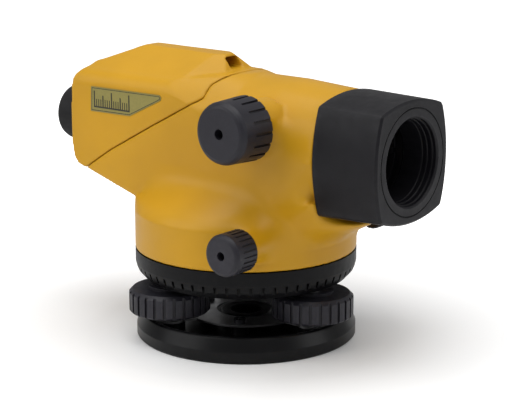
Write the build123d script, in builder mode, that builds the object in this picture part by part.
from build123d import *
import os
from math import sin, cos, tan, pi, radians, sqrt, atan2

# Automatic level (surveying instrument), built as an assembly, mm.
# Origin: centre of the base plate's bottom face. +Z up, +X towards the
# objective (front), -Y the focusing-knob side (right), +Y the far side (left).

os.makedirs("parts", exist_ok=True)

CUT = Mode.SUBTRACT

# ---- driving dimensions -----------------------------------------------------
# Names end in _r for a radius, _x, _y or _z for a place along that axis.
axis_z = 98.26                      # optical axis
base_r, base_h, base_wall_h = 54.4, 12.0, 5.8
tripod_r = 15.875 / 2               # 5/8 inch tripod thread

foot_circle_r = 40.34
foot_angles = (-117.9, 2.1, 122.1)
foot_knob_r, foot_knob_z0, foot_knob_z1 = 19.8, 15.4, 27.0
foot_shank_r, foot_top_z = 4.0, 41.5
ball_z, ball_r = 9.0, 4.5
nut_z, nut_r = 36.0, 6.5

ring_r, ring_z0, ring_z1 = 54.5, 30.9, 44.35
tribrach_r, tribrach_z0, tribrach_z1 = 48.6, 29.4, 43.0
hub_r, hub_top = 12.0, 62.0
spindle_r = 8.0
bush_r = spindle_r + 2.5

drum_r, drum_z0, drum_z1, drum_inner_r = 54.5, 44.5, 68.5, 51.8
floor_z0, floor_z1 = 66.0, 69.5     # floor between drum and housing
wall_y, rear_x = 31.2, -88.7        # housing's outside
tube_r0, tube_r1, tube_x1 = 32.0, 29.9, 63.0
bore_x0, bore_r = -18.0, 26.0
spigot_r, spigot_x = 26.2, 79.0     # carries the objective hood
hood_x0, hood_x1 = 63.2, 97.5
hood_corner, hood_bulge = 24.15, 28.4   # corner offset, middle of a bowed side
hood_taper = 1.9                    # degrees, wider towards the tube
hood_bore_r = 20.3

eye_r, eye_x = 14.5, -116.5         # eyecup
eye_port_r = 11.0
focus_x, focus_z, focus_r, focus_back_r = 32.2, 111.8, 14.3, 15.2
focus_y0, focus_y1 = -37.0, -57.7
fine_x, fine_z, fine_r = 39.13, 58.2, 9.7   # tangent drive
fine_y0, fine_y1 = 50.0, 65.0
fine_shaft_r = 2.5

wheel_module, wheel_teeth = 0.8, 85
wheel_pitch_r = wheel_module * wheel_teeth / 2
worm_pitch_r = fine_x - wheel_pitch_r
worm_pitch = 2 * pi * wheel_pitch_r / wheel_teeth
pinion_module, pinion_teeth = 0.5, 12
pinion_pitch_r = pinion_module * pinion_teeth / 2
pressure_angle = radians(20)

foot_pts = [
    (foot_circle_r * cos(radians(angle)), foot_circle_r * sin(radians(angle)))
    for angle in foot_angles
]
x_line = Axis((0, 0, axis_z), (1, 0, 0))


# ---- helpers ----------------------------------------------------------------
def save(builder, name):
    builder.part.label = name
    export_step(builder.part, f"parts/{name}.step")


def level(z, x=0.0, y=0.0):
    """Horizontal sketch plane."""
    return Plane(origin=(x, y, z), x_dir=(1, 0, 0), z_dir=(0, 0, 1))


def along_x(x, y=0.0, z=axis_z):
    """Sketch plane facing +X; its local axes are Y and Z."""
    return Plane(origin=(x, y, z), x_dir=(0, 1, 0), z_dir=(1, 0, 0))


def along_y(x, y, z, side=-1):
    """Sketch plane facing -Y, or +Y for side=1, with its local x along +X."""
    return Plane(origin=(x, y, z), x_dir=(1, 0, 0), z_dir=(0, side, 0))


# Builders in a helper don't join the caller's, so the helpers hand their
# sketches to extrude and revolve, which act on the caller's part.
def face_on(plane, points):
    """Polygon on a plane."""
    with BuildSketch(plane) as outline:
        with BuildLine():
            Polyline(*points, close=True)
        make_face()
    return outline.sketch


def slab(plane, points, amount, both=False, mode=Mode.ADD):
    """Extruded polygon."""
    face = face_on(plane, points)
    extrude(face, amount=amount, dir=plane.z_dir, both=both, mode=mode)


def disc(plane, radius, amount, hole=0.0, both=False, mode=Mode.ADD):
    """Extruded circle, or ring where there is a hole radius."""
    with BuildSketch(plane) as outline:
        Circle(radius)
        if hole:
            Circle(hole, mode=CUT)
    extrude(outline.sketch, amount=amount, dir=plane.z_dir, both=both, mode=mode)


def block(plane, width, height, amount, mode=Mode.ADD):
    """Extruded rectangle, centred on the plane's origin."""
    with BuildSketch(plane) as outline:
        Rectangle(width, height)
    extrude(outline.sketch, amount=amount, dir=plane.z_dir, mode=mode)


def turn_z(*points):
    """Revolve an outline of (radius, z) about the vertical axis."""
    revolve(face_on(Plane.XZ, points), axis=Axis.Z)


def turn_x(*points, mode=Mode.ADD):
    """Revolve an outline of (x, radius) about the optical axis."""
    face = face_on(Plane.XZ, [(x, axis_z + radius) for x, radius in points])
    revolve(face, axis=x_line, mode=mode)


def cross(length, width):
    """Cross slot of a screw head, for the sketch in progress."""
    Rectangle(length, width)
    Rectangle(width, length)


def involute_gear(teeth, module, addendum, dedendum, thinning, phase=0.0, steps=5):
    """Points of a spur gear outline. thinning: arc taken off each tooth at the
    pitch circle. phase: angle of the first tooth."""
    pitch_r = teeth * module / 2
    base_circle_r = pitch_r * cos(pressure_angle)
    tip_r, root_r = pitch_r + addendum, pitch_r - dedendum

    def involute(radius):
        ratio = max(radius, base_circle_r) / base_circle_r
        roll = sqrt(max(ratio ** 2 - 1, 0))
        return roll - atan2(roll, 1)

    half = (pi * module / 2 - thinning) / (2 * pitch_r)
    radii = [root_r + (tip_r - root_r) * i / steps for i in range(steps + 1)]
    points = []
    for k in range(teeth):
        middle = phase + 2 * pi * k / teeth
        for flank, flank_radii in ((-1, radii), (1, radii[::-1])):
            for radius in flank_radii:
                angle = middle + flank * (half + involute(pitch_r) - involute(radius))
                points.append((radius * cos(angle), radius * sin(angle)))
    return points


def lens_arc(rim_x, apex_x, radius, rev=False):
    """Arc from the rim to the optical axis, its centre on the axis. rev: drawn
    from the axis to the rim."""
    sag = abs(apex_x - rim_x)
    curve_r = (radius * radius + sag * sag) / (2 * sag)
    sign = 1 if apex_x > rim_x else -1
    half = 0.5 * atan2(radius, curve_r - sag)
    middle = (apex_x - sign * curve_r * (1 - cos(half)), axis_z + curve_r * sin(half))
    ends = [(rim_x, axis_z + radius), (apex_x, axis_z)]
    if rev:
        ends.reverse()
    return ThreePointArc(ends[0], middle, ends[1])


def lens(rear_rim, rear_apex, front_apex, front_rim, radius):
    """Lens with two curved faces; the first four sizes are x positions."""
    with BuildSketch(Plane.XZ) as profile:
        with BuildLine():
            lens_arc(rear_rim, rear_apex, radius)
            Line((rear_apex, axis_z), (front_apex, axis_z))
            lens_arc(front_rim, front_apex, radius, rev=True)
            Line((front_rim, axis_z + radius), (rear_rim, axis_z + radius))
        make_face()
    revolve(profile.sketch, axis=x_line)


# =============================================================================
# BASE: plate, spring plate, its screws
# =============================================================================
spring_screws_at = (24.0, 3, foot_angles[1] + 60)   # radius, count, first angle
spring_z, spring_t = 10.3, 1.0

with BuildPart() as base_plate:
    turn_z(
        (tripod_r, 0), (base_r - 0.8, 0), (base_r, 0.8), (base_r, base_wall_h),
        (51.7, base_h - 0.5), (51.0, base_h), (49.4, base_h), (47.6, 6.0),
        (14.5, 6.0), (13.0, 7.2), (13.0, 10.2), (12.2, 11.0), (tripod_r, 11.0),
    )
    # three seats for the foot screws' balls
    with BuildSketch(level(4)):
        with Locations(*foot_pts):
            Circle(7.4)
    extrude(amount=6.2)
    with Locations(*[(x, y, ball_z) for x, y in foot_pts]):
        Sphere(ball_r + 0.1, mode=CUT)
    with BuildSketch(level(ball_z)):
        with Locations(*foot_pts):
            Circle(ball_r + 0.1)
    extrude(amount=3, mode=CUT)
    # pillars for the spring plate, and their screw holes
    with BuildSketch(level(5)):
        with PolarLocations(*spring_screws_at):
            Circle(4.2)
    extrude(amount=5.2)
    with BuildSketch(level(3)):
        with PolarLocations(*spring_screws_at):
            Circle(1.55)
    extrude(amount=10, mode=CUT)
save(base_plate, "base_plate")

with BuildPart() as spring_plate:
    with BuildSketch(level(spring_z)):
        Circle(29.5)
        with Locations(*foot_pts):
            Circle(8.2)
        for (x, y), angle in zip(foot_pts, foot_angles):
            with Locations(Location((x * 0.8, y * 0.8, 0), (0, 0, angle))):
                Rectangle(12, 13)
        with Locations(*foot_pts):
            Circle(ball_r - 0.08, mode=CUT)
        Circle(14.6, mode=CUT)
        with PolarLocations(*spring_screws_at):
            Circle(1.7, mode=CUT)
    extrude(amount=spring_t)
save(spring_plate, "spring_plate")

with BuildPart() as spring_plate_screws:
    with BuildSketch(level(spring_z + spring_t + 0.05)):
        with PolarLocations(*spring_screws_at):
            Circle(3.0)
    extrude(amount=1.9)
    with BuildSketch(level(3.4)):
        with PolarLocations(*spring_screws_at):
            Circle(1.48)
    extrude(amount=8.2)
    with BuildSketch(level(12.2)):
        with PolarLocations(*spring_screws_at):
            cross(4.4, 0.7)
    extrude(amount=1.2, mode=CUT)
save(spring_plate_screws, "spring_plate_screws")

# =============================================================================
# FOOT SCREWS A, B, C: steel screw with a ball foot, ribbed plastic knob,
# spherical brass nut in the tribrach
# =============================================================================
knob_grooves = 26
knob_h = foot_knob_z1 - foot_knob_z0
neck_h = 5.0            # narrower neck between ball and shank
nut_half_h = 4.6        # nut's flats from its centre

for letter, (x, y) in zip("abc", foot_pts):
    with BuildPart() as foot_screw:
        with Locations((x, y, ball_z)):
            Sphere(ball_r)
        disc(level(ball_z - 5, x, y), 8, 1.6, mode=CUT)
        disc(level(ball_z, x, y), 3.4, neck_h + 0.5)
        disc(level(ball_z + neck_h, x, y), foot_shank_r, foot_top_z - ball_z - neck_h)
        chamfer(foot_screw.edges().sort_by(Axis.Z)[-1], 0.7)
    save(foot_screw, f"foot_screw_{letter}")

    with BuildPart() as foot_knob:
        disc(level(foot_knob_z0, x, y), foot_knob_r, knob_h)
        chamfer(foot_knob.faces().sort_by(Axis.Z)[-1].edges(), 1.8)
        chamfer(foot_knob.faces().sort_by(Axis.Z)[0].edges(), 1.0)
        # grip grooves
        with BuildSketch(level(foot_knob_z0 - 1, x, y)):
            with PolarLocations(foot_knob_r + 0.35, knob_grooves):
                Rectangle(2.6, 1.5)
        extrude(amount=knob_h + 2, mode=CUT)
        # raised collar, dished underside, bore
        disc(level(foot_knob_z1, x, y), 10.2, 1.3)
        disc(level(foot_knob_z0, x, y), 15.6, 7.0, hole=7.0, mode=CUT)
        disc(level(foot_knob_z0 - 1, x, y), foot_shank_r + 0.02, 20, mode=CUT)
    save(foot_knob, f"foot_knob_{letter}")

    with BuildPart() as foot_nut:
        with Locations((x, y, nut_z)):
            Sphere(nut_r)
        disc(level(nut_z - 8, x, y), 9, 8 - nut_half_h, mode=CUT)
        disc(level(nut_z + nut_half_h, x, y), 9, 8 - nut_half_h, mode=CUT)
        disc(level(nut_z - 8, x, y), foot_shank_r + 0.36, 16, mode=CUT)
    save(foot_nut, f"foot_nut_{letter}")

# =============================================================================
# TRIBRACH with the vertical axis bush, tension screws
# =============================================================================
# sides of the nut triangle: corner, unit direction to the next corner
nut_sides = [
    (Vector(x0, y0, nut_z), Vector(x1 - x0, y1 - y0, 0).normalized())
    for (x0, y0), (x1, y1) in zip(foot_pts, foot_pts[1:] + foot_pts[:1])
]

with BuildPart() as tribrach:
    turn_z(
        (bush_r, 31.0), (20.0, 31.0), (22.0, tribrach_z0 + 0.4), (24.0, tribrach_z0),
        (46.0, tribrach_z0), (tribrach_r, 30.8), (tribrach_r, tribrach_z1),
        (14.0, tribrach_z1), (hub_r, 45.0), (hub_r, hub_top), (bush_r, hub_top),
    )
    # weight-saving pockets between the arms, open at the top
    for angle in foot_angles:
        with BuildSketch(level(33.0)):
            with PolarLocations(30.0, 1, start_angle=angle + 60):
                SlotOverall(26, 20, rotation=90)
        extrude(amount=12, mode=CUT)
    # spherical nut seats
    with Locations(*[(x, y, nut_z) for x, y in foot_pts]):
        Sphere(nut_r + 0.1, mode=CUT)
    # clearance (z, radius, height) for the screw above and below, and the collar
    for z, radius, height in ((nut_z, 5.6, 12), (20, 5.6, 14), (28, 11.6, 2.7)):
        with BuildSketch(level(z)):
            with Locations(*foot_pts):
                Circle(radius)
        extrude(amount=height, mode=CUT)
    # tension-screw holes along the sides of the nut triangle
    for corner, direction in nut_sides:
        hole_plane = Plane(origin=corner + direction * 5.0, z_dir=direction)
        disc(hole_plane, 1.55, 14.0, mode=CUT)
save(tribrach, "tribrach")

with BuildPart() as tension_screws:
    for corner, direction in nut_sides:
        disc(Plane(origin=corner + direction * 6.62, z_dir=direction), 1.5, 8.0)
save(tension_screws, "tension_screws")

with BuildPart() as axis_bush:
    disc(level(31.5), bush_r - 0.02, hub_top - 31.5, hole=spindle_r + 0.03)
save(axis_bush, "axis_bush")

with BuildPart() as bottom_cap:
    disc(level(28.4), 18.0, 2.5)
    chamfer(bottom_cap.faces().sort_by(Axis.Z)[0].edges(), 0.8)
    with BuildSketch(level(28.0)):
        with PolarLocations(14.4, 3, start_angle=foot_angles[1]):
            Circle(1.3)
    extrude(amount=4, mode=CUT)
save(bottom_cap, "bottom_cap")

# =============================================================================
# HORIZONTAL CIRCLE and its knurled positioning ring
# =============================================================================
ring_bore_r = tribrach_r + 0.25
ring_lip_z = tribrach_z1 + 0.1

with BuildPart() as positioning_ring:
    turn_z(
        (ring_bore_r, 31.4), (49.6, 30.6), (50.4, ring_z0), (53.2, 34.0), (53.9, 35.6),
        (ring_r, 38.0), (ring_r, ring_z1), (50.0, ring_z1), (50.0, 45.2), (44.0, 45.2),
        (44.0, ring_lip_z), (ring_bore_r, ring_lip_z),
    )
    # grip notches in the slanted underside
    with BuildSketch(level(30.0)):
        with PolarLocations(54.6, 60):
            Rectangle(4.4, 1.3)
    extrude(amount=7.0, mode=CUT)
save(positioning_ring, "positioning_ring")

with BuildPart() as horizontal_circle:
    turn_z(
        (44.2, 45.25), (51.2, 45.25), (51.2, 53.0),
        (50.0, 53.0), (50.0, 46.6), (44.2, 46.6),
    )
save(horizontal_circle, "horizontal_circle")

# =============================================================================
# WORM WHEEL with its friction spring
# =============================================================================
wheel_outline = involute_gear(
    wheel_teeth, wheel_module, addendum=0.6, dedendum=0.8, thinning=0.30,
    phase=pi / wheel_teeth,
)
with BuildPart() as worm_wheel:
    with BuildSketch(level(fine_z - 1.5)):
        with BuildLine():
            Polyline(*wheel_outline, close=True)
        make_face()
        Circle(hub_r + 0.05, mode=CUT)
        with PolarLocations(22.5, 6):
            Circle(6.2, mode=CUT)
    extrude(amount=3.0)
    disc(level(fine_z - 4.5), 16.0, 3.2, hole=hub_r + 0.05)
save(worm_wheel, "worm_wheel")

with BuildPart() as friction_spring:
    disc(level(fine_z - 6.0), 15.6, 0.6, hole=hub_r + 0.3)
    with BuildSketch(level(fine_z - 5.5)):
        with PolarLocations(14.0, 3):
            Rectangle(1.6, 4.0)
    extrude(amount=0.9)
save(friction_spring, "friction_spring")

with BuildPart() as wheel_retaining_rings:
    for z, thickness in ((48.0, 3.9), (59.9, 1.2)):
        disc(level(z), 15.0, thickness, hole=hub_r + 0.02)
save(wheel_retaining_rings, "wheel_retaining_rings")


# =============================================================================
# OUTER FORM shared by the main casting and the rear cover
# =============================================================================
def housing_section(x, inset):
    """Closed face at x: flat walls, rounded upper corners, crowned top."""
    half = wall_y - inset
    wall_top, corner_z, corner_top = 119.5, 124.5 - inset * 0.6, 127.6 - inset
    with BuildSketch(along_x(x, z=0)) as outline:
        with BuildLine():
            Polyline((-half, wall_top), (-half, 61.0), (half, 61.0), (half, wall_top))
            ThreePointArc(
                (half, wall_top), (half - 1.5, corner_z), (half - 5.2, corner_top)
            )
            ThreePointArc(
                (half - 5.2, corner_top), (0, 130.8 - inset), (-half + 5.2, corner_top)
            )
            ThreePointArc(
                (-half + 5.2, corner_top), (-half + 1.5, corner_z), (-half, wall_top)
            )
        make_face()
    return outline.sketch


def hood_outline(corner, bulge, x):
    """Outline of the objective hood: a square with bowed sides."""
    with BuildSketch(along_x(x)) as outline:
        with BuildLine():
            ThreePointArc((-corner, -corner), (0, -bulge), (corner, -corner))
            ThreePointArc((corner, -corner), (bulge, 0), (corner, corner))
            ThreePointArc((corner, corner), (0, bulge), (-corner, corner))
            ThreePointArc((-corner, corner), (-bulge, 0), (-corner, -corner))
        make_face()
    return outline.sketch


# cut about the optical axis that fairs the boxy rear into the round tube
fairing_r = tube_r0 - 0.02
with BuildPart() as fairing_cut:
    with BuildSketch(level(axis_z)):
        Rectangle(88, 90, align=(Align.MIN, Align.CENTER))
        with Locations((-44, 0)):
            Rectangle(44, 90, align=(Align.MIN, Align.CENTER))
    extrude(amount=45)
    turn_x(
        (-50, 0), (-50, 44.0), (-24, 39.8), (12, fairing_r), (90, fairing_r), (90, 0),
        mode=CUT,
    )

# the same cone, further in, shapes the cavity
with BuildPart() as fairing_inner:
    with BuildSketch(level(axis_z)):
        with Locations((-50, 0)):
            Rectangle(60, 90, align=(Align.MIN, Align.CENTER))
    extrude(amount=45)
    turn_x(
        (-52, 0), (-52, 43.0), (-50, 42.0), (-24, 37.0), (12, tube_r0 - 2.6), (12, 0),
        mode=CUT,
    )

# side profiles (x, z) of the housing, outside and cavity
profile_outer = face_on(Plane.XZ, [
    (16, 135), (-81.0, 135), (-81.8, 130.6), (-82.6, 128.6), (-84.6, 126.6),
    (-86.6, 124.2), (-87.4, 121.2), (-87.9, 116.5), (-88.3, 108), (rear_x, 98.3),
    (-88.2, 88.5), (-87.2, 82.6), (-84.6, 79.0), (-44.8, 67.1), (-30, 62), (16, 62),
])
profile_inner = face_on(Plane.XZ, [
    (13, 135), (-78.8, 135), (-79.8, 127.4), (-83.4, 122.5), (-84.9, 114),
    (-85.3, 108), (-85.9, 98.3), (-85.2, 88.5), (-84.2, 83.4), (-82.6, 81.2),
    (-44.4, 70.0), (-42.5, floor_z1), (13, floor_z1),
])

# parting line (x, z) between casting and cover, from the rear upwards
parting_line = [
    (-79.5, 77.0), (-75, 80.3), (-62, 88.6), (-34.5, 103.5), (-14.8, 113.8),
    (-5.2, 118.9), (-3.2, 120.3), (-3.5, 122.8), (-3.3, 125.7), (-1.2, 128.0),
    (1.7, 130.3),
]
parting_z0 = 51.0       # height of the parting line's rear end
# everything above and behind the line, and everything below and before it;
# the small shifts leave the parting gap
upper_zone = face_on(Plane.XZ, [
    (-120, parting_z0), *parting_line, (8.0, 135.5), (8.0, 160.0), (-120, 160),
])
lower_zone = face_on(Plane.XZ, [
    (-120, 40), (-120, parting_z0 + 0.15),
    *[(x - 0.12, z + 0.11) for x, z in parting_line],
    (7.6, 135.2), (7.6, 160.0), (40, 160), (40, 40),
])

with BuildPart() as housing_void:
    extrude(housing_section(-90, 2.6), amount=74.0, dir=(1, 0, 0))
    extrude(profile_inner, amount=40, both=True, mode=Mode.INTERSECT)
    add(fairing_inner.part, mode=CUT)

# =============================================================================
# MAIN CASTING: housing, telescope tube, drum
# =============================================================================
# belly under the tube: flares out of the drum, then fairs into the tube
# each loft runs between two rounded rectangles: z, centre x, length, width, corner
belly_lofts = [
    ((55.0, 9.0, 90, 44, 21.5), (66.3, 17.0, 118, 52, 25)),
    ((66.3, 17.0, 118, 52, 25), (79.0, 11.0, 112, 62.4, 12)),
    ((79.0, 7.0, 104, 62.4, 12), (axis_z, 7.0, 112, 61.6, 2)),
]
spigot_root_x = tube_x1 - 4
spindle_screws_at = (13.5, 4, 45)       # radius, count, first angle
window_z = 55.0
level_x, level_y = -4.0, 43.0           # circular level
hood_room = hood_outline(hood_corner + 1.5, hood_bulge + 1.5, tube_x1)

with BuildPart() as main_casting:
    # housing walls
    extrude(housing_section(-96, 0.0), amount=110.0, dir=(1, 0, 0))
    extrude(profile_outer, amount=40, both=True, mode=Mode.INTERSECT)
    add(fairing_cut.part, mode=CUT)
    # telescope tube, tapering forwards
    turn_x(
        (6, 0), (6, tube_r0), (14, tube_r0), (34, 31.8), (tube_x1, tube_r1), (tube_x1, 0)
    )
    for loft_ends in belly_lofts:
        for z, x, length, width, corner in loft_ends:
            with BuildSketch(level(z)):
                with Locations((x, 0)):
                    RectangleRounded(length, width, corner)
        loft()
    # shoulder between drum and housing
    with BuildSketch(level(drum_z1 - 1.0)):
        Circle(drum_r - 1.6)
    with BuildSketch(level(79.0)):
        RectangleRounded(92, 63.0, 26)
    loft()
    # drum
    disc(level(drum_z0), drum_r, drum_z1 - drum_z0)
    # room for the objective hood, then the spigot that carries it
    extrude(hood_room, amount=40, mode=CUT)
    disc(along_x(spigot_root_x), spigot_r, spigot_x - spigot_root_x)
    # bosses: focusing shaft, tangent shaft
    disc(along_y(focus_x, -36.6, focus_z), 12.4, -14)
    disc(along_y(fine_x, 0, fine_z), 7.0, fine_y0 - 0.8, both=True)
    # cavities: drum, housing, tube bore, spigot bore
    disc(level(drum_z0 - 1), drum_inner_r, floor_z0 - drum_z0 + 1, mode=CUT)
    add(housing_void.part, mode=CUT)
    disc(along_x(bore_x0), bore_r, tube_x1 - 3 - bore_x0, mode=CUT)
    disc(along_x(spigot_root_x), 23.4, 30, mode=CUT)
    # bores for the shafts' bushes
    disc(along_y(focus_x, -50, focus_z), 5.2, -33, mode=CUT)
    disc(along_y(fine_x, 0, fine_z), 4.0, 60, both=True, mode=CUT)
    # holes for the spindle's screws in the floor
    with BuildSketch(level(floor_z0 - 1)):
        with PolarLocations(*spindle_screws_at):
            Circle(1.5)
    extrude(amount=4.4, mode=CUT)
    # window for reading the horizontal circle, at the back of the drum
    block(along_x(-60, z=window_z), 11, 7.5, 12, mode=CUT)
    # seat for the circular level on the far side's shoulder
    disc(level(74.5, level_x, level_y), 9.3, 20, mode=CUT)
    # opening for the rear cover
    extrude(upper_zone, amount=80, both=True, mode=CUT)
save(main_casting, "main_casting")

with BuildPart() as circle_window:
    block(along_x(-54.2, z=window_z), 10.7, 7.2, 2.0)
save(circle_window, "circle_window")

# =============================================================================
# REAR COVER with the peep-sight hump, label, bulkhead, screws
# =============================================================================
hump_top, hump_half = 138.9, 4.3

with BuildPart() as hump:
    # cross-section (y, z), then side profile (x, z)
    slab(along_x(-90, z=0), [
        (-26.6, 120.0), (-26.6, 127.0), (-hump_half, hump_top),
        (hump_half, hump_top), (26.6, 127.0), (26.6, 120.0),
    ], 110)
    slab(Plane.XZ, [
        (-81.9, 120), (-81.9, 130.4), (-78.6, 131.3), (-73, 133.7), (-65.9, 136.7),
        (-60.8, 138.8), (-9.8, 138.0), (-3.6, 130.0), (-0.8, 126.4), (-0.8, 120),
    ], 28, both=True, mode=Mode.INTERSECT)
    # slanted corners at the front of the hump
    for side in (-1, 1):
        corner_plane = Plane(
            origin=(-10.2, side * hump_half, 137.1),
            x_dir=(1, 0, -0.45),
            z_dir=(0.45, side * 0.638, 1),
        )
        with BuildSketch(corner_plane):
            Rectangle(90, 90)
        extrude(amount=30, mode=CUT)

# cover screws (y, height above the optical axis)
cover_screws_at = [(y, z - axis_z) for z in (88.0, 110.0) for y in (-22.0, 22.0)]

with BuildPart() as rear_cover:
    extrude(housing_section(-96, 0.0), amount=110.0, dir=(1, 0, 0))
    extrude(profile_outer, amount=40, both=True, mode=Mode.INTERSECT)
    add(fairing_cut.part, mode=CUT)
    add(hump.part)
    disc(along_x(bore_x0), bore_r, 40, mode=CUT)
    extrude(lower_zone, amount=80, both=True, mode=CUT)
    add(housing_void.part, mode=CUT)
    # sight channel, its peephole, a cross hole
    block(along_x(20, z=133.9), 9.0, 5.4, -80, mode=CUT)
    disc(along_x(-50, z=134.4), 0.8, -40, mode=CUT)
    disc(along_y(-53.8, -20, 135.2, side=1), 0.55, 40, mode=CUT)
    # eyepiece opening
    disc(along_x(-100), eye_port_r, 20, mode=CUT)
    # label recess in the near wall
    slab(along_y(0, -30.8, 0), [
        (-74.0, 119.7), (-27.4, 119.9), (-26.4, 118.6),
        (-27.0, 117.0), (-47.7, 107.1), (-74.6, 106.8),
    ], 3.0, mode=CUT)
    # counterbored holes (radius, depth) for the cover's screws
    for radius, depth in ((2.7, 5.4), (1.6, 9.0)):
        with BuildSketch(along_x(-92.0)):
            with Locations(*cover_screws_at):
                Circle(radius)
        extrude(amount=depth, mode=CUT)
save(rear_cover, "rear_cover")

with BuildPart() as label_plate:
    slab(along_y(0, -wall_y + 0.35, 0), [
        (-73.8, 119.5), (-27.6, 119.7), (-26.7, 118.5),
        (-27.2, 117.1), (-47.8, 107.3), (-74.4, 107.0),
    ], 0.45)
save(label_plate, "label_plate")

# sheet-metal bulkhead inside the cover's back wall
with BuildPart() as rear_bulkhead:
    with BuildSketch(along_x(-83.0)):
        RectangleRounded(50, 32, 4)
        Circle(eye_port_r - 0.03, mode=CUT)
        with Locations(*cover_screws_at):
            Circle(1.55, mode=CUT)
    extrude(amount=3.0)
save(rear_bulkhead, "rear_bulkhead")

with BuildPart() as cover_screws:
    # head, then shank: rear end, radius, length
    for x, radius, length in ((-88.3, 2.6, 1.6), (-87.5, 1.45, 8.5)):
        with BuildSketch(along_x(x)):
            with Locations(*cover_screws_at):
                Circle(radius)
        extrude(amount=length)
    with BuildSketch(along_x(-89.2)):
        with Locations(*cover_screws_at):
            cross(3.4, 0.6)
    extrude(amount=1.7, mode=CUT)
save(cover_screws, "cover_screws")

# =============================================================================
# VERTICAL AXIS on the casting
# =============================================================================
with BuildPart() as spindle:
    disc(level(32.0), spindle_r, 32.0)
    chamfer(spindle.faces().sort_by(Axis.Z)[0].edges(), 0.8)
    disc(level(63.0), 17.0, 2.95)
    with BuildSketch(level(60.0)):
        with PolarLocations(*spindle_screws_at):
            Circle(1.6)
    extrude(amount=10, mode=CUT)
save(spindle, "spindle")

with BuildPart() as spindle_screws:
    # head, then shank: z, radius, length
    for z, radius, length in ((62.0, 2.4, 0.95), (62.5, 1.45, 6.5)):
        with BuildSketch(level(z)):
            with PolarLocations(*spindle_screws_at):
                Circle(radius)
        extrude(amount=length)
save(spindle_screws, "spindle_screws")

# =============================================================================
# OBJECTIVE: hood, cell, cemented pair, retaining ring
# =============================================================================
hood_seat_r = spigot_r + 0.05
glass_r = 19.4
cell_bore_r = 19.5

hood_face = hood_outline(hood_corner, hood_bulge, hood_x1)
with BuildPart() as objective_hood:
    extrude(hood_face, amount=-(hood_x1 - hood_x0), taper=-hood_taper)
    # corner edges run nearly along X
    fillet(objective_hood.edges().filter_by(lambda e: abs(e.tangent_at(0.5).X) > 0.9), 2.6)
    chamfer(objective_hood.faces().sort_by(Axis.X)[-1].edges(), 0.9)
    # seat on the spigot, stepped bore, flared mouth
    turn_x(
        (hood_x0 - 1, 0), (hood_x0 - 1, hood_seat_r), (spigot_x + 0.4, hood_seat_r),
        (spigot_x + 0.4, 19.0), (90.0, 19.0), (90.0, 19.3), (92.5, 19.3),
        (92.5, 19.7), (95.0, 19.7), (95.0, hood_bore_r), (hood_x1 - 0.8, hood_bore_r),
        (hood_x1 + 0.2, hood_bore_r + 1.0), (hood_x1 + 0.2, 0),
        mode=CUT,
    )
    # fine groove in the front face
    disc(along_x(hood_x1 - 0.6), 25.1, 2, hole=24.55, mode=CUT)
save(objective_hood, "objective_hood")

with BuildPart() as objective_cell:
    disc(along_x(60.5), 23.35, 18.0, hole=18.0)
    disc(along_x(63.0), cell_bore_r, 20, mode=CUT)
save(objective_cell, "objective_cell")

with BuildPart() as objective_doublet:
    # rear element
    with BuildSketch(Plane.XZ):
        with BuildLine():
            Polyline((65.2, axis_z), (63.9, axis_z + glass_r), (68.6, axis_z + glass_r))
            lens_arc(68.6, 66.3, glass_r)
            Line((66.3, axis_z), (65.2, axis_z))
        make_face()
    revolve(axis=x_line)
    # front element (crown), a hair's breadth away for the cement
    lens(68.75, 66.45, 73.9, 71.2, glass_r)
save(objective_doublet, "objective_doublet")

with BuildPart() as objective_retaining_ring:
    disc(along_x(72.0), cell_bore_r - 0.05, 3.2, hole=18.1)
    with BuildSketch(along_x(74.0)):
        with PolarLocations(18.8, 2):
            Rectangle(2.2, 2.2)
    extrude(amount=3, mode=CUT)
save(objective_retaining_ring, "objective_retaining_ring")

# =============================================================================
# FOCUSING: guide tube, lens cell with rack, pinion shaft, bush, knob
# =============================================================================
guide_flange_r = bore_r - 0.05
guide_r, guide_bore_r = 17.4, 15.06
arm_z = 103.6           # arm from the lens cell to the rack
rack_y = -18.4
focus_shaft_r = 3.0

with BuildPart() as focus_guide_tube:
    turn_x(
        (8, guide_bore_r), (8, guide_flange_r), (11, guide_flange_r), (11, guide_r),
        (55, guide_r), (55, guide_flange_r), (58, guide_flange_r), (58, guide_bore_r),
    )
    # slot for the arm
    block(along_y(focus_x, -10, arm_z), 24.5, 5.0, 10, mode=CUT)
save(focus_guide_tube, "focus_guide_tube")

with BuildPart() as focus_lens_cell:
    disc(along_x(focus_x - 12), 15.0, 24, hole=12.3)
    disc(along_x(focus_x - 3), 12.9, 2, hole=10.8)
    block(along_y(focus_x, -13.0, arm_z), 8.0, 3.6, 9.0)
save(focus_lens_cell, "focus_lens_cell")

rack_teeth = 15
rack_pitch = pi * pinion_module
rack_pitch_z = focus_z - pinion_pitch_r
rack_tip_z, rack_root_z = rack_pitch_z + 0.32, rack_pitch_z - 0.62
rack_bottom_z = 105.6
half_tooth = rack_pitch / 4 - 0.05      # at the pitch line
tip_half = half_tooth - 0.32 * tan(pressure_angle)
root_half = half_tooth + 0.62 * tan(pressure_angle)
# The teeth's flanks run through these points, root and tip, from -X to +X.
rack_outline = []
for i in range(rack_teeth):
    middle = focus_x + (i - (rack_teeth - 1) / 2) * rack_pitch
    rack_outline += [
        (middle - half_tooth - 0.62 * tan(pressure_angle), rack_root_z),
        (middle - half_tooth + 0.32 * tan(pressure_angle), rack_tip_z),
        (middle + tip_half, rack_tip_z),
        (middle + root_half, rack_root_z),
    ]
rack_x0, rack_x1 = rack_outline[0][0] - 0.5, rack_outline[-1][0] + 0.5

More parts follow.
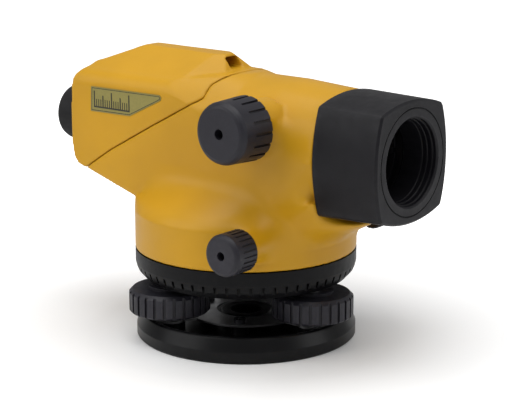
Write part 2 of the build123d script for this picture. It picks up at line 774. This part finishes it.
with BuildPart() as focus_rack:
    slab(along_y(0, rack_y, 0), [
        (rack_x0, rack_bottom_z), (rack_x0, rack_root_z), *rack_outline,
        (rack_x1, rack_root_z), (rack_x1, rack_bottom_z),
    ], 4.0)
    block(along_y(focus_x, rack_y, 103.7), 12.0, 4.0, 4.0)
    block(along_y(focus_x, -18.0, arm_z), 8.05, 3.65, 5.0, mode=CUT)
save(focus_rack, "focus_rack")

with BuildPart() as focus_lens:
    lens(focus_x - 0.7, focus_x + 1.4, focus_x + 2.8, focus_x + 4.6, 12.25)
save(focus_lens, "focus_lens")

pinion_outline = involute_gear(
    pinion_teeth, pinion_module, addendum=0.42, dedendum=0.52, thinning=0.10,
    phase=-pi / 2 + pi / pinion_teeth, steps=6,
)
with BuildPart() as focus_shaft:
    slab(along_y(focus_x, -18.2, focus_z), pinion_outline, 5.2)
    disc(along_y(focus_x, -23.4, focus_z), focus_shaft_r, 26.4)
save(focus_shaft, "focus_shaft")

with BuildPart() as focus_bush:
    disc(along_y(focus_x, -24.2, focus_z), 5.17, 12.2, hole=focus_shaft_r + 0.04)
save(focus_bush, "focus_bush")


def side_knob(x, z, r, back_r, y0, y1, bore_r, hole_r, grooves, groove_w, groove_d, rim):
    """Round knob on a shaft along Y, from y0 at the instrument to y1: rounded
    outer end, grip grooves from y0 that stop a rim's width short of y1."""
    side = -1 if y1 < y0 else 1
    length = abs(y1 - y0)
    with BuildPart() as knob:
        with BuildSketch(level(z, x)):
            with BuildLine():
                Polyline(
                    (0, y0), (back_r - 0.8, y0), (back_r, y0 + side * 0.9),
                    (r + 0.15, y1 - side * r * 0.20), (r - r * 0.03, y1 - side * r * 0.10),
                    (r - r * 0.09, y1 - side * r * 0.035), (r - r * 0.18, y1), (0, y1),
                    close=True,
                )
            make_face()
        revolve(axis=Axis((x, 0, z), (0, 1, 0)))
        with BuildSketch(along_y(x, y0 - side * 0.5, z, side)):
            with PolarLocations(back_r + 0.2, grooves):
                Rectangle(2 * groove_d, groove_w)
        extrude(amount=length - rim + 0.5, mode=CUT)
        # shaft bore from the back, hole in the outer end
        disc(along_y(x, y0 - side, z, side), bore_r, 14.0, mode=CUT)
        disc(along_y(x, y1 + side, z, side), hole_r, -6.2, mode=CUT)
    return knob


focus_knob = side_knob(
    focus_x, focus_z, focus_r, focus_back_r, focus_y0, focus_y1,
    bore_r=focus_shaft_r + 0.02, hole_r=2.4,
    grooves=17, groove_w=1.4, groove_d=1.3, rim=8.4,
)
save(focus_knob, "focus_knob")

# =============================================================================
# TANGENT (fine horizontal) DRIVE: worm shaft through both sides
# =============================================================================
worm_core_r = 4.2
thread_half = worm_pitch / 4 - 0.06     # half thickness at the pitch line
# thread's foot and crest, measured outwards from the pitch line
thread_foot, thread_crest = -(worm_pitch_r - 4.0), 0.58
foot_half = thread_half - thread_foot * tan(pressure_angle)
crest_half = thread_half - thread_crest * tan(pressure_angle)

with BuildPart() as worm_shaft:
    disc(along_y(fine_x, -58.4, fine_z, side=1), fine_shaft_r, 116.8)
    disc(along_y(fine_x, -8.0, fine_z, side=1), worm_core_r, 16.0)
    # right-hand thread, centred at y = 0 on the side facing the wheel
    with BuildLine() as thread_path:
        Helix(
            pitch=worm_pitch,
            height=4 * worm_pitch,
            radius=worm_pitch_r,
            center=(fine_x, -1.75 * worm_pitch, fine_z),
            direction=(0, 1, 0),
        )
    thread_plane = Plane(
        origin=thread_path.line @ 0, x_dir=(0, 0, 1), z_dir=thread_path.line % 0
    )
    with BuildSketch(thread_plane):
        with BuildLine():
            Polyline(
                (thread_foot, -thread_half + thread_foot * tan(pressure_angle)),
                (thread_crest, -crest_half),
                (thread_crest, crest_half),
                (thread_foot, foot_half),
                close=True,
            )
        make_face()
    sweep(path=thread_path.line, is_frenet=True)
save(worm_shaft, "worm_shaft")

with BuildPart() as tangent_bushes:
    for side in (1, -1):
        bush_plane = along_y(fine_x, side * 34.6, fine_z, side)
        disc(bush_plane, 3.97, 14.5, hole=fine_shaft_r + 0.04)
save(tangent_bushes, "tangent_bushes")

knob_pair = [
    side_knob(
        fine_x, fine_z, fine_r, fine_r + 0.2, side * fine_y0, side * fine_y1,
        bore_r=fine_shaft_r + 0.02, hole_r=2.1,
        grooves=24, groove_w=0.9, groove_d=0.7, rim=4.8,
    )
    for side in (-1, 1)
]
with BuildPart() as tangent_knobs:
    for knob in knob_pair:
        add(knob.part)
save(tangent_knobs, "tangent_knobs")

# =============================================================================
# EYEPIECE: sleeve, reticle, sliding barrel with lenses, dioptre ring, eyecup
# =============================================================================
barrel_r, barrel_bore_r = 9.0, 8.05

with BuildPart() as eyepiece_sleeve:
    disc(along_x(-98.0), eye_port_r - 0.1, 38.0, hole=barrel_r + 0.05)
save(eyepiece_sleeve, "eyepiece_sleeve")

with BuildPart() as reticle:
    disc(along_x(-63.0), barrel_r, 1.6)
save(reticle, "reticle")

with BuildPart() as reticle_ring:
    disc(along_x(-61.2), barrel_r, 1.1, hole=7.4)
save(reticle_ring, "reticle_ring")

with BuildPart() as eyepiece_barrel:
    turn_x(
        (-108.5, 6.2), (-108.5, barrel_r), (-72.0, barrel_r), (-72.0, 7.0), (-80.0, 7.0),
        (-80.0, barrel_bore_r), (-106.9, barrel_bore_r), (-106.9, 6.2),
    )
save(eyepiece_barrel, "eyepiece_barrel")

with BuildPart() as eye_lenses:
    for x in (-104.0, -97.5):
        lens(x - 1.2, x - 2.5, x + 2.5, x + 1.2, barrel_bore_r - 0.05)
save(eye_lenses, "eye_lenses")

with BuildPart() as dioptre_ring:
    turn_x(
        (-89.4, 10.96), (-89.4, 12.6), (-90.2, 13.4), (-103.0, 13.4), (-103.0, 11.6),
        (-112.0, 11.6), (-112.0, 9.4), (-98.6, 9.4), (-98.6, 10.96),
    )
    # grip grooves
    with BuildSketch(along_x(-90.6)):
        with PolarLocations(13.5, 32):
            Rectangle(0.8, 1.0)
    extrude(amount=-11.4, mode=CUT)
save(dioptre_ring, "dioptre_ring")

with BuildPart() as eyecup:
    turn_x(
        (-103.2, 11.65), (-103.2, 13.6), (-105.0, eye_r), (-114.6, eye_r),
        (-116.1, 13.9), (eye_x, 12.8), (-115.6, 12.0), (-112.3, 8.0),
        (-112.3, 7.0), (-112.1, 7.0), (-112.1, 11.65),
    )
save(eyecup, "eyecup")

# =============================================================================
# COMPENSATOR: frame, fixed prisms, pendulum on wires, damping magnets
# =============================================================================
comp_x = -36.0
frame_z0 = floor_z1 + 0.5
frame_top_z0 = 116.0
pendulum_z, pendulum_side_h = 76.0, 9.5
pendulum_side_y = 13.5

with BuildPart() as compensator_frame:
    block(level(frame_z0, comp_x + 2), 20, 46, 2.0)
    with BuildSketch(level(frame_z0)):
        with Locations((comp_x, 21.5), (comp_x, -21.5)):
            Rectangle(14, 3)
    extrude(amount=49.5)
    with BuildSketch(level(frame_top_z0)):
        with Locations((comp_x, 0)):
            Rectangle(18, 44)
            Rectangle(8, 30, mode=CUT)
    extrude(amount=3.0)
    # shelf that carries the fixed prisms, then the opening through it
    block(along_y(comp_x, 20.5, 87.55), 36, 2.1, 41)
    block(level(84, comp_x), 26, 31, 6, mode=CUT)
save(compensator_frame, "compensator_frame")

with BuildPart() as fixed_prisms:
    for side in (1, -1):
        slab(along_y(0, 9, 0), [
            (comp_x + side * 17.5, 88.7), (comp_x + side * 17.5, 107.0),
            (comp_x + side * 9.5, 107.0), (comp_x + side * 13.2, 88.7),
        ], 18)
save(fixed_prisms, "fixed_prisms")

with BuildPart() as pendulum:
    block(level(pendulum_z, comp_x), 18, 30, 2.4)
    with BuildSketch(level(pendulum_z)):
        with Locations((comp_x, pendulum_side_y), (comp_x, -pendulum_side_y)):
            Rectangle(18, 2.4)
    extrude(amount=pendulum_side_h)
save(pendulum, "pendulum")

with BuildPart() as pendulum_prism:
    slab(along_y(0, 8, 0), [
        (comp_x - 8.5, 78.5), (comp_x + 8.5, 78.5), (comp_x + 8.5, 80.0),
        (comp_x + 2.0, 86.0), (comp_x - 2.0, 86.0), (comp_x - 8.5, 80.0),
    ], 16)
save(pendulum_prism, "pendulum_prism")

wire_z0 = pendulum_z + pendulum_side_h + 0.1
with BuildPart() as suspension_wires:
    for y in (pendulum_side_y, -pendulum_side_y):
        for x in (comp_x - 6.5, comp_x + 6.5):
            disc(level(wire_z0, x, y), 0.25, frame_top_z0 - 0.15 - wire_z0)
save(suspension_wires, "suspension_wires")

with BuildPart() as damping_magnets:
    for y in (8.0, -8.0):
        disc(level(72.1, comp_x, y), 5.0, 3.2)
save(damping_magnets, "damping_magnets")

# =============================================================================
# CIRCULAR LEVEL with its folding mirror, far side
# =============================================================================
hinge_x, hinge_z = level_x + 10.6, 85.0
hinge_half = 4.8                        # half length of the mirror's hinge barrel
mirror_angle = radians(48.0)            # opening, up from -X

with BuildPart() as level_housing:
    disc(level(74.6, level_x, level_y), 9.0, 8.4)
    disc(level(76.2, level_x, level_y), 7.55, 8, mode=CUT)
    # ears for the mirror's hinge pin, and the web between them
    with BuildSketch(level(78.0)):
        with Locations((level_x + 10.0, level_y - 6.0), (level_x + 10.0, level_y + 6.0)):
            Rectangle(5.0, 2.0)
    extrude(amount=9.0)
    block(level(78.0, level_x + 9.9, level_y), 4.2, 14.0, 4.4)
    disc(along_y(hinge_x, level_y - 20, hinge_z, side=1), 0.8, 40, mode=CUT)
save(level_housing, "level_housing")

with BuildPart() as level_vial:
    disc(level(76.4, level_x, level_y), 7.5, 5.6)
    fillet(level_vial.faces().sort_by(Axis.Z)[-1].edges(), 1.2)
save(level_vial, "level_vial")

with BuildPart() as mirror_pin:
    disc(along_y(hinge_x, level_y - 7.6, hinge_z, side=1), 0.78, 15.2)
save(mirror_pin, "mirror_pin")

mirror_plane = Plane(
    origin=(hinge_x, 0, hinge_z),
    x_dir=(-cos(mirror_angle), 0, sin(mirror_angle)),
    z_dir=(0, 1, 0),
)
with BuildPart() as mirror_frame:
    disc(along_y(hinge_x, level_y - hinge_half, hinge_z, side=1), 1.7, 2 * hinge_half)
    # plate, drawn out from y = 0 and trimmed to the barrel's near end
    with BuildSketch(mirror_plane):
        with Locations((9.4, 0.4)):
            Rectangle(18.0, 1.8)
    extrude(amount=level_y + hinge_half)
    trim_plane = along_y(hinge_x, -1, hinge_z, side=1)
    block(trim_plane, 90, 90, level_y - hinge_half + 1, mode=CUT)
    disc(along_y(hinge_x, level_y - 20, hinge_z, side=1), 0.82, 40, mode=CUT)
save(mirror_frame, "mirror_frame")
